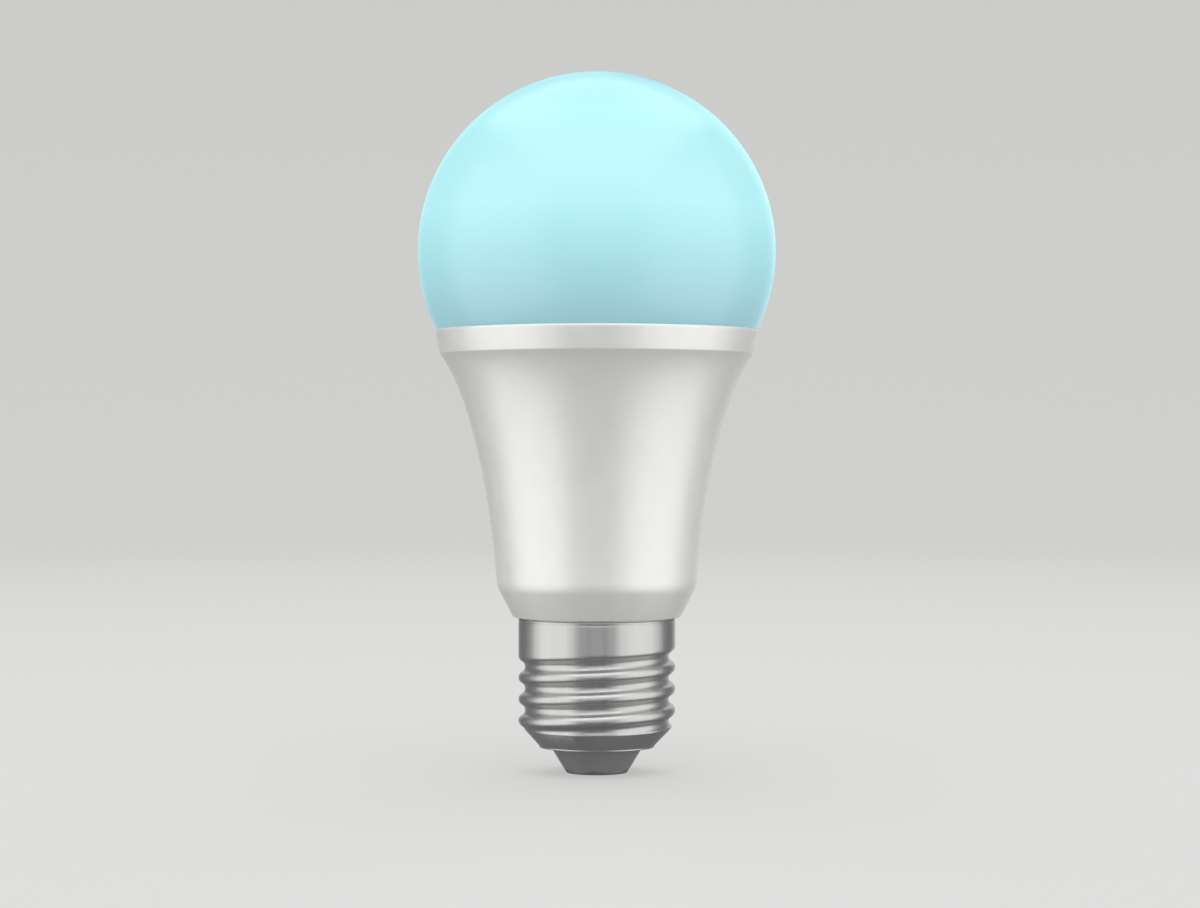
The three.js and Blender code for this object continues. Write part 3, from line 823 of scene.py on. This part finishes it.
def board_screw(node):
    """A pan-head screw with a cross recess and a coarse thread."""
    head, tall, shank, pitch, depth = 2.3, 1.5, 1.25, 0.5, 0.32
    seat = BOARD_TOP + 0.02
    low, _, (x, y, _), _ = measures(node)
    reach = seat - low[2]
    crown = rounded([
        (0, tall), (1.5, tall - 0.05, 0.6), (head, 0.55, 0.5), (head, 0.0, 0.12), (0, 0),
    ], 6)
    recess = [moved(block(2.6, 0.52, 2.0, 0.1), at(0, 0, tall + 0.1, (0, 0, turn))) for turn in (20, 110)]
    piece = Assembly()
    piece.add(carve(lathe(crown, 40), recess), "steel")
    rows = 90
    core = [(shank, -(reach - 0.5) * i / rows) for i in range(rows + 1)]

    def press(angle, r, z):
        if r < shank or z > -1.2:
            return r
        phase = (z / pitch - angle / (2 * math.pi)) % 1
        return shank - depth * abs(phase * 2 - 1) ** 0.8

    outline = [(0, 0.3), (shank - 0.05, 0.3)] + core + [(shank - 0.45, -reach), (0, -reach)]
    piece.add(lathe(outline, 28, press), "steel")
    piece.make(node.replace("board_screw", "pan_screw"), node, at(x, y, seat), 30)


# ---- radio board and connectors ----


def chip(piece, place, size=(1.0, 0.5, 0.5), body="chip"):
    """A small part with tinned ends, on a board's face."""
    long, wide, tall = size
    piece.add(block(long * 0.6, wide, tall, 0.04), body, place)
    for end in (-1, 1):
        cap = block(long * 0.24, wide * 1.04, tall * 1.04, 0.04)
        piece.add(cap, "tin", place @ at(end * long * 0.38, 0, 0))


def ribbon(points, width, thickness):
    """A flat track with mitred corners, lying on z = 0, through (x, y) points."""
    path = [Vector(point) for point in points]
    left, right = [], []
    for i, here in enumerate(path):
        back = (here - path[i - 1]).normalized() if i else None
        on = (path[i + 1] - here).normalized() if i < len(path) - 1 else None
        back, on = back or on, on or back
        across = (back + on).normalized()
        across = Vector((-across.y, across.x)) * (width / 2 / across.dot(on))
        left.append(tuple(here + across))
        right.append(tuple(here - across))
    return prism(left + right[::-1], [], thickness)


def radio_board():
    low, high = cad_box("wifi_board")
    (left, front, foot), (right, back, top) = low, high
    edge_pads = [(left + 1.9 + i * 1.22, foot + 0.45) for i in range(11)]
    notches = [circle(0.32, 16, *pad) for pad in edge_pads]
    piece = Assembly()
    plate = prism(rounded_box(left, right, foot, top, 0.5), notches, back - front, 0.05)
    piece.add(plate, "green_mask", at(0, back, 0, UPRIGHT))
    for x, z in edge_pads:
        ring = prism(circle(0.5, 20), [circle(0.3, 20)], 0.06)
        piece.add(ring, "gold", at(x, front + 0.02, z, UPRIGHT))
    span, start, low_end, high_end = 1.15, left + 1.6, top - 5.2, top - 2.0
    aerial = [(start, low_end - 2.2), (start, high_end)]
    for i in range(10):
        side = start + (i + 1) * span
        levels = (high_end, low_end) if i % 2 == 0 else (low_end, high_end)
        aerial += [(side, level) for level in levels]
    piece.add(ribbon(aerial, 0.42, 0.06), "gold", at(0, front + 0.02, 0, UPRIGHT))
    for i in range(5):
        chip(piece, at(left + 3.2 + i * 2.1, front - 0.25, 68.9, (0, 90 * (i % 2), 0)))
    for i in range(4):
        chip(piece, at(left + 3.4 + i * 2.9, back + 0.25, 66.0 + (i % 2) * 1.6))
    crystal = block(3.2, 0.7, 2.5, 0.25, 3)
    piece.add(crystal, "can", at(3.2, back + 0.35, 62))
    piece.make("radio_board_plate", "wifi_board")


def shield_can():
    _, high, (x, y, z), (wide, deep, tall) = measures("wifi_shield")
    vent = [(0, -1), (0.32, -1), (0.32, 0.35), (0, 0.35)]
    vents = [moved(lathe(vent, 16), at(column, -deep / 2, row, UPRIGHT))
             for row in (-2.6, 2.6) for column in (-3.6, -1.2, 1.2, 3.6)]
    piece = Assembly()
    piece.add(carve(block(wide, deep - 0.35, tall, 0.32, 3), vents), "can", at(x, y, z))
    piece.add(block(wide - 0.3, 0.9, tall - 0.3, 0.12), "can", at(x, high[1] - 0.16, z))
    piece.make("shield_can", "wifi_shield")


def square_pin(length):
    """A square pin with chamfered tips, along Z."""
    half = PIN_SIDE / 2
    corners = [(-1, -1), (1, -1), (1, 1), (-1, 1)]
    levels = [(0, half * 0.5), (0.35, half), (length - 0.35, half), (length, half * 0.5)]
    bm = bmesh.new()
    return skin(bm, [[bm.verts.new((x * reach, y * reach, z)) for x, y in corners] for z, reach in levels])


def strip(depth, tall):
    """A header's moulded strip, waisted between its pins."""
    reach = PIN_PITCH / 2
    waist = [(-reach, 0.76), (-reach + 0.45, 1.0), (reach - 0.45, 1.0), (reach, 0.76)]
    near = [(px + dx, -share * depth / 2) for px in PIN_PLACES for dx, share in waist]
    far = [(x, -y) for x, y in reversed(near)]
    return prism(list(dict.fromkeys(near + far)), [], tall, 0.06)


def module_header():
    _, high, (x, _, z), (_, deep, tall) = measures("module_header")
    back = high[1]
    piece = Assembly()
    piece.add(strip(tall, deep - 0.1), "black", at(x, back - 0.05, z, UPRIGHT))
    for px in PIN_PLACES:
        piece.add(square_pin(deep + 0.5), "gold", at(x + px, back + 0.25, z, UPRIGHT))
    piece.make("board_to_board_header", "module_header")


def pin_header():
    low, _, (x, y, _), (_, deep, tall) = measures("pin_header")
    piece = Assembly()
    piece.add(strip(deep, 1.6), "black", at(x, y, low[2]))
    for px in PIN_PLACES:
        piece.add(square_pin(tall - 0.1), "gold", at(x + px, y, low[2] + 0.1))
    piece.make("tall_pin_header", "pin_header")


def board_socket():
    low, _, (x, y, _), (wide, deep, tall) = measures("board_socket")
    foot = low[2] - 0.2
    reach = PIN_SIDE / 2 + 0.22
    bores = [rounded_box(px - reach, px + reach, -reach, reach, 0.08, 2) for px in PIN_PLACES]
    piece = Assembly()
    piece.add(prism(centred_box(wide, deep, 0.25), bores, tall + 0.2, 0.1), "white", at(x, y, foot))
    for px in PIN_PLACES:
        for side in (-1, 1):
            piece.add(block(0.6, 1.0, 0.16, 0.03), "tin", at(x + px, y + side * 1.6, foot))
    piece.make("socket_strip", "board_socket")


# ---- mains driver ----

DRIVER_FRONT, DRIVER_BACK = (corner[1] for corner in cad_box("driver_board"))


def joint(piece, x, z, back=False):
    """A solder joint on one face of the driver board, with its cut lead."""
    size = 0.55
    cone = lathe([
        (0, 0), (size, 0), (size * 0.62, 0.2), (size * 0.4, 0.5), (size * 0.34, 0.85), (0, 0.9),
    ], 16)
    face = DRIVER_BACK - 0.01 if back else DRIVER_FRONT + 0.01
    piece.add(cone, "solder", at(x, face, z, (-90 if back else 90, 0, 0)))


def driver_board():
    low, high = cad_box("driver_board")
    (_, front, foot), (wide, back, top) = low, high
    neck = 9.0
    edge = [(neck - 0.5, foot), (neck, foot + 0.5), (neck, 33.5), (wide, 38.5), (wide, top - 0.5),
            (wide - 0.5, top)]
    outline = edge + [(-x, z) for x, z in reversed(edge)]
    slots = [rounded_box(-5.9, -5.2, 44, 52, 0.3), circle(1.1, 24, -11.3, 62.4), circle(1.1, 24, 11.3, 41.2)]
    behind = [(-2.5, 22.6), (2.5, 22.6), (-2.2, 15), (2.2, 15), (8.6, 43.4), (11.4, 43.4)]
    behind += [(x, z) for z in (40.5, 52.6) for x in (-4, 0, 4)]
    ahead = [(-4.5, 13.9), (-4.5, 26.2), (-2.5, 27.6), (2.5, 27.6), (-1.6, 41.3), (1.6, 41.3),
             (-10.2, 57.2), (-2.8, 57.2)]
    small = [(7.2, 17.5), (7.2, 20.5), (-7.2, 22), (-7.2, 25), (11.2, 55), (11.2, 57.5),
             (-9.4, 40.8), (9.4, 51.2), (7.0, 51.2)]
    piece = Assembly()
    piece.add(prism(outline, slots, back - front, 0.06), "green_mask", at(0, back, 0, UPRIGHT))
    for x, z in behind:
        joint(piece, x, z, back=True)
    for x, z in ahead:
        joint(piece, x, z)
    for i, (x, z) in enumerate(small):
        place = at(x, DRIVER_BACK + 0.26, z, (0, 90 * (i % 2), 0))
        chip(piece, place, (2.0, 1.25, 0.5), "black" if i % 3 else "chip")
    piece.make("driver_board_plate", "driver_board")


def electrolytic(node, name, side):
    """An electrolytic can in its sleeve: rolled bead near the foot, scored vent on top, bent leads."""
    low, _, (x, y, _), (wide, _, tall) = measures(node)
    r = wide / 2
    sleeve = rounded([
        (r - 0.9, 0), (r, 0, 0.5), (r, 1.4, 0.3), (r - 0.32, 1.95, 0.35), (r, 2.5, 0.3),
        (r, tall, 0.45), (r - 0.9, tall, 0.05), (r - 0.95, tall - 0.1), (r - 0.9, 0.1),
    ])
    piece = Assembly()
    piece.add(lathe(sleeve, 64), "sleeve")
    band = rounded([
        (r - 0.1, 2.9), (r + 0.02, 2.9, 0.01), (r + 0.02, tall - 0.7, 0.01), (r - 0.1, tall - 0.7),
    ], 1)
    stripe = bmesh.new()
    sweep = [math.radians(-20 + 40 * i / 10 - 90 * side) for i in range(11)]
    skin(stripe, [[stripe.verts.new((q * math.cos(a), q * math.sin(a), z)) for q, z in band] for a in sweep])
    piece.add(stripe, "stripe")
    lid = r - 0.96
    top = lathe([
        (0, tall - 0.35), (lid, tall - 0.35), (lid, tall - 0.12), (r - 1.2, tall - 0.06), (0, tall - 0.06),
    ], 48)
    scores = [moved(block(r * 1.1, 0.16, 0.3, 0.03, 1), at(0, 0, tall - 0.06, (0, 0, turn)))
              for turn in (45, 135)]
    piece.add(carve(top, scores), "aluminium")
    bung = rounded([(0, -0.12), (r - 1.0, -0.12, 0.2), (r - 0.95, 0.5), (0, 0.5)])
    piece.add(lathe(bung, 40), "black")
    board = (DRIVER_FRONT if side > 0 else DRIVER_BACK) - y
    for foot in (-r / 2, r / 2):
        piece.lead([(foot, 0, 0.1), (foot, 0, -1.0), (foot, board, -1.0)])
    piece.make(name, node, at(x, y, low[2]))


def drum_inductor(node, name):
    """A ferrite drum with rows of enamelled wire between its flanges."""
    low, _, (x, y, _), (wide, _, tall) = measures(node)
    r, core, flange = wide / 2, wide / 4, 0.9
    drum = rounded([
        (0, 0), (r, 0, 0.2), (r, flange, 0.2), (core, flange + 0.1, 0.1),
        (core, tall - flange - 0.1, 0.1), (r, tall - flange, 0.2), (r, tall, 0.2), (0.7, tall, 0.2),
        (0.6, tall - 0.5, 0.1), (0, tall - 0.5),
    ])
    piece = Assembly()
    piece.add(lathe(drum, 48), "ferrite")
    wire_radius = 0.2
    turns = int((tall - 2 * flange) / (2 * wire_radius))
    foot = tall / 2 - turns * wire_radius
    winding = [(core - 0.05, foot)]
    for i in range(turns):
        sunk = 0.05 * (i % 3 == 1)
        winding += arc(r - 0.42 - sunk, foot + (2 * i + 1) * wire_radius, wire_radius, -80, 80, 5)
    winding += [(core - 0.05, foot + 2 * turns * wire_radius)]
    piece.add(lathe(winding, 48), "copper")
    board = DRIVER_FRONT - y
    for foot in (-r * 0.45, r * 0.45):
        piece.lead([(foot, 0, 0.15), (foot, 0, -0.6), (foot, board, -0.6)], 0.25)
    piece.make(name, node, at(x, y, low[2]))


def transformer_core():
    _, _, (x, y, z), (wide, deep, tall) = measures("transformer_core")
    windows = [rounded_box(-4.3, 4.3, s * 3.4 - 2.3, s * 3.4 + 2.3, 0.3) for s in (-1, 1)]
    core = prism(centred_box(wide, tall, 0.5), windows, deep, 0.18)
    inside = centred_box(wide + 0.02, tall + 0.02, 0.5)
    wrap = prism(centred_box(wide + 0.16, tall + 0.16, 0.55), [inside], 3.4, 0.03)
    piece = Assembly()
    piece.add(core, "ferrite", at(x, y + deep / 2, z, UPRIGHT))
    piece.add(wrap, "tape", at(x, y + 1.7, z, UPRIGHT))
    piece.make("ee_core", "transformer_core")


def transformer_coil():
    _, _, (x, y, z), (length, deep, tall) = measures("transformer_coil")
    room = centred_box(5.7, 2.7, 0.3)
    piece = Assembly()

    def along(outline, hole, width, bevel, finish, start):
        """A sleeve that lies along the coil from a distance left or right of its middle."""
        piece.add(prism(outline, [hole], width, bevel), finish, at(x + start, y, z, (90, 0, 90)))

    for start in (-length / 2, length / 2 - 0.7):
        along(centred_box(deep, tall, 1.2, 6), room, 0.7, 0.12, "black", start)
    along(centred_box(6.7, 3.6, 0.5), room, length - 1.2, 0, "black", 0.6 - length / 2)
    winding, tube = centred_box(deep - 0.9, tall - 0.9, 1.6, 8), centred_box(6.75, 3.65, 0.5, 6)
    along(winding, tube, length - 1.44, 0.2, "tape", 0.72 - length / 2)
    over, under = centred_box(deep - 0.78, tall - 0.78, 1.62, 8), centred_box(deep - 1.0, tall - 1.0, 1.58, 8)
    along(over, under, 2.6, 0.04, "tape", -1.3)
    for px in (-3.65, 3.65):
        for row in (-3.2, 0, 3.2):
            piece.lead([(px, py, row) for py in (4.6, 5.0, 5.55)], place=at(x, y, z))
    piece.make("taped_coil", "transformer_coil")


def gull_package(node, name, leads, pitch, across):
    """A moulded package on the board's back with leads along two sides, and a pin-one dimple."""
    low, _, (x, _, z), (wide, thick, tall) = measures(node)
    width, height = (wide, tall) if across == "x" else (tall, wide)
    draft, lead_radius = 0.16, 0.13
    piece = Assembly()
    for half, lift in ((1, 0), (-1, 0.02)):
        body = block(width, height, thick / 2, 0.1)
        for vert in body.verts:
            if vert.co.z * half > 0:
                vert.co.x *= 1 - draft / width
                vert.co.y *= 1 - draft / height
        if half == 1:
            dimple = lathe([(0, -0.08), (0.25, -0.08), (0.32, 1), (0, 1)], 20)
            body = carve(body, [moved(dimple, at(-width / 2 + 0.75, height / 2 - 0.75, thick / 4))])
        piece.add(body, "black", at(0, 0, thick * (0.5 + half / 4) + lift))
    foot = DRIVER_BACK - low[1] + 0.08
    middle_plane = thick * 0.5
    for side in (-1, 1):
        for i in range(leads):
            level = (i - (leads - 1) / 2) * pitch
            bend = [(width / 2 - 0.1, middle_plane), (width / 2 + 0.3, middle_plane),
                    (width / 2 + 0.45, foot), (width / 2 + 1.0, foot)]
            lead = rod(softened([(side * reach, level, rise) for reach, rise in bend], 2), lead_radius, 8)
            flat = (1, min(2.2, pitch * 1.4), 1)
            bmesh.ops.scale(lead, vec=flat, verts=lead.verts, space=at(0, -level, 0))
            piece.add(lead, "tin")
    spin = at(0, 0, 0, (0, 0, 0 if across == "x" else 90))
    piece.make(name, node, at(x, low[1], z, (-90, 0, 0)) @ spin)


def fuse_resistor():
    low, _, (x, y, _), (wide, _, tall) = measures("fuse_resistor")
    r, waist = wide / 2, wide * 0.42
    body = rounded([
        (0, 0), (r * 0.6, 0, 0.2), (r, 0.7, 0.5), (r, 2.2, 0.5), (waist, 2.9, 0.5),
        (waist, tall - 2.9, 0.5), (r, tall - 2.2, 0.5), (r, tall - 0.7, 0.5), (r * 0.6, tall, 0.2),
        (0, tall),
    ])
    piece = Assembly()
    piece.add(lathe(body, 40), "beige")
    for level, colour in ((1.35, "brown"), (3.5, "grey"), (4.7, "brown"), (7.6, "grey")):
        reach = r if level < 2 or level > tall - 2 else waist
        inner, outer, foot, top = reach - 0.1, reach + 0.02, level - 0.28, level + 0.28
        piece.add(lathe([(inner, foot), (outer, foot), (outer, top), (inner, top)], 40), colour)
    board = DRIVER_BACK - y
    for start, end in ((0.1, -1.6), (tall - 0.1, tall + 1.6)):
        piece.lead([(0, 0, start), (0, 0, end), (0, board, end)])
    piece.make("banded_resistor", "fuse_resistor", at(x, y, low[2]))


def varistor():
    low, _, (x, _, z), (wide, thick, _) = measures("varistor")
    r = wide / 2
    disc = rounded([
        (0, 0.2), (r - 0.9, 0.2, 0.6), (r, 1.0, 0.8), (r, thick - 0.9, 0.9), (r - 1.0, thick, 0.8),
        (0, thick),
    ], 6)
    piece = Assembly()
    piece.add(lathe(disc, 56), "blue")
    for px in (-2.5, 2.5):
        neck = softened([(px, -r + 0.9, 1.2), (px, -r - 0.1, 1.0), (px, -r - 0.5, 0.5)])
        piece.add(rod(neck, 0.5, 12), "blue")
        piece.lead([(px, -r - 0.3, 0.7), (px, -r - 0.6, 0.2), (px, -r - 0.65, -0.3)])
    piece.make("disc_varistor", "varistor", at(x, low[1], z, (-90, 0, 0)))


def film_capacitor():
    low, _, (x, y, z), (wide, deep, tall) = measures("film_capacitor")
    foot = low[2]
    piece = Assembly()
    piece.add(block(wide, deep, tall, 0.45, 4), "tape", at(x, y, z))
    recess = centred_box(wide - 0.5, deep - 0.5, 0.3)
    rim = prism(centred_box(wide + 0.06, deep + 0.06, 0.45), [recess], 0.6, 0.05)
    piece.add(rim, "tape", at(x, y, foot + 0.02))
    for px in (x - 3.7, x + 3.7):
        piece.lead([(px, y, foot + 0.2), (px, y, foot - 1.3), (px, DRIVER_BACK, foot - 1.3)])
    piece.make("box_film_capacitor", "film_capacitor")


def wire(node, name, finish, points):
    """A stranded lead with its ends stripped and tinned."""
    path = softened(points)
    piece = Assembly()
    piece.add(rod(path, 0.6, 20), finish)
    for end, inside, bare in ((path[0], path[1], 0.25), (path[-1], path[-2], 0.9)):
        piece.add(rod([inside, end + (end - inside).normalized() * bare], 0.36, 14), "tin")
    piece.make(name, node)


def contact_sleeve():
    low, high = cad_box("contact_sleeve")
    bore, tube, flange = 1.12, 1.8, high[0]
    outline = rounded([
        (bore, low[2]), (tube, low[2], 0.15), (tube, high[2] - 0.45, 0.15),
        (flange, high[2] - 0.42, 0.14), (flange, high[2], 0.14), (bore + 0.3, high[2], 0.3),
        (bore, high[2] - 0.4),
    ])
    piece = Assembly()
    piece.add(lathe(outline, 48), "brass")
    piece.make("eyelet", "contact_sleeve")


# ---- studio ----

NOT_THE_FLOOR = bpy.data.collections.new("not_the_floor")    # what the softboxes light


def studio():
    """A wide pale floor that curves up into walls, and even light from all round."""
    glow = (*linear(206, 206, 205), 1)
    pale = Finish("pale_floor", linear(137, 137, 136), 0.7, Emission_Color=glow, Emission_Strength=0.74)
    radius, bend, top = 1600, 500, 1500
    profile = [(0, 0), (radius - bend, 0)]
    profile += arc(radius - bend, bend, bend, -90, 0, 16)[1:] + [(radius, top)]
    floor = new_object("floor", lathe(profile, 96, sheet=True), [pale.material])
    floor.visible_glossy = False
    floor.visible_diffuse = False
    floor.visible_shadow = False
    NOT_THE_FLOOR.objects.link(floor)
    NOT_THE_FLOOR.collection_objects[0].light_linking.link_state = "EXCLUDE"
    world = bpy.data.worlds.new("studio")
    world.use_nodes = True
    world.node_tree.nodes["Background"].inputs["Color"].default_value = (1, 1, 1, 1)
    world.node_tree.nodes["Background"].inputs["Strength"].default_value = 0.21
    bpy.context.scene.world = world


def panel(name, place, aim, width, tall, strength):
    """A soft rectangular light, in metres and watts per square metre."""
    light = bpy.data.lights.new(name, "AREA")
    light.shape = "RECTANGLE"
    light.size = width
    light.size_y = tall
    light.energy = strength * width * tall
    obj = bpy.data.objects.new(name, light)
    obj.location = place
    obj.rotation_euler = (Vector(aim) - Vector(place)).to_track_quat("-Z", "Y").to_euler()
    obj.visible_camera = False
    bpy.context.scene.collection.objects.link(obj)
    return obj


def softbox(name, azimuth, distance, height, width, tall, strength):
    """An upright panel that lights the bulb alone. Azimuth 0 is the camera's side, degrees to the right."""
    angle = math.radians(azimuth)
    place = (distance * math.sin(angle), -distance * math.cos(angle), height)
    light = panel(name, place, (0, 0, height), width, tall, strength)
    light.light_linking.receiver_collection = NOT_THE_FLOOR


def camera():
    """The photograph's viewpoint, in metres."""
    data = bpy.data.cameras.new("camera")
    data.sensor_width = 36
    data.lens = 87
    obj = bpy.data.objects.new("camera", data)
    obj.location = (0.00053, -0.487, 0.0534)
    obj.rotation_euler = (math.radians(90), 0, 0)
    bpy.context.scene.collection.objects.link(obj)
    bpy.context.scene.camera = obj


# ---- the bulb and its scene ----

globe()
housing()
cap_shell()
cap_insulator()
contact()
dome_seal()
heat_sink()
thermal_pad()
led_board()
for i in range(1, 7):
    for tone in ("cool", "warm"):
        white_led(f"{tone}_white_led_{i}", tone)
for i in range(1, 5):
    colour_led(f"rgb_led_{i}")
for i in range(1, 4):
    board_screw(f"board_screw_{i}")
radio_board()
shield_can()
module_header()
pin_header()
board_socket()
driver_board()
electrolytic("input_capacitor", "input_can", 1)
electrolytic("output_capacitor", "output_can", -1)
drum_inductor("emi_inductor", "mains_choke")
drum_inductor("supply_inductor", "supply_choke")
transformer_core()
transformer_coil()
gull_package("bridge_rectifier", "bridge_package", 2, 2.5, "z")
gull_package("driver_ic", "driver_package", 4, 1.27, "x")
gull_package("output_diode", "diode_package", 1, 1.0, "z")
gull_package("colour_driver_ic", "colour_driver_package", 8, 0.65, "x")
fuse_resistor()
varistor()
film_capacitor()
wire("live_wire", "red_lead", "live",
     [(-3, 2.8, 12.7), (-2.6, 2.8, 11.2), (-0.8, 1, 10.2), (0, 0, 9.3), (0, 0, 8.3)])
wire("neutral_wire", "white_lead", "neutral",
     [(4, 2.8, 12.7), (4.6, 2.8, 10.9), (6.6, 2.8, 9.2), (8.2, 3, 8.4), (9.6, 3.2, 8.3)])
contact_sleeve()
studio()
softbox("left_softbox", -68, 0.6, 0.15, 0.88, 1.1, 3.8)
softbox("right_softbox", 66, 0.6, 0.15, 0.9, 1.1, 3.7)
softbox("front_fill", 0, 0.9, 0.4, 0.7, 0.8, 2.3)
softbox("left_rim", -170, 0.9, 0.2, 0.4, 0.9, 1.4)
softbox("right_rim", 161, 0.9, 0.2, 0.35, 0.9, 2.0)
panel("top_softbox", (0, 0, 1.0), (0, 0, 0), 1.4, 2.2, 5.2)
camera()

bpy.context.scene.view_settings.view_transform = "Standard"
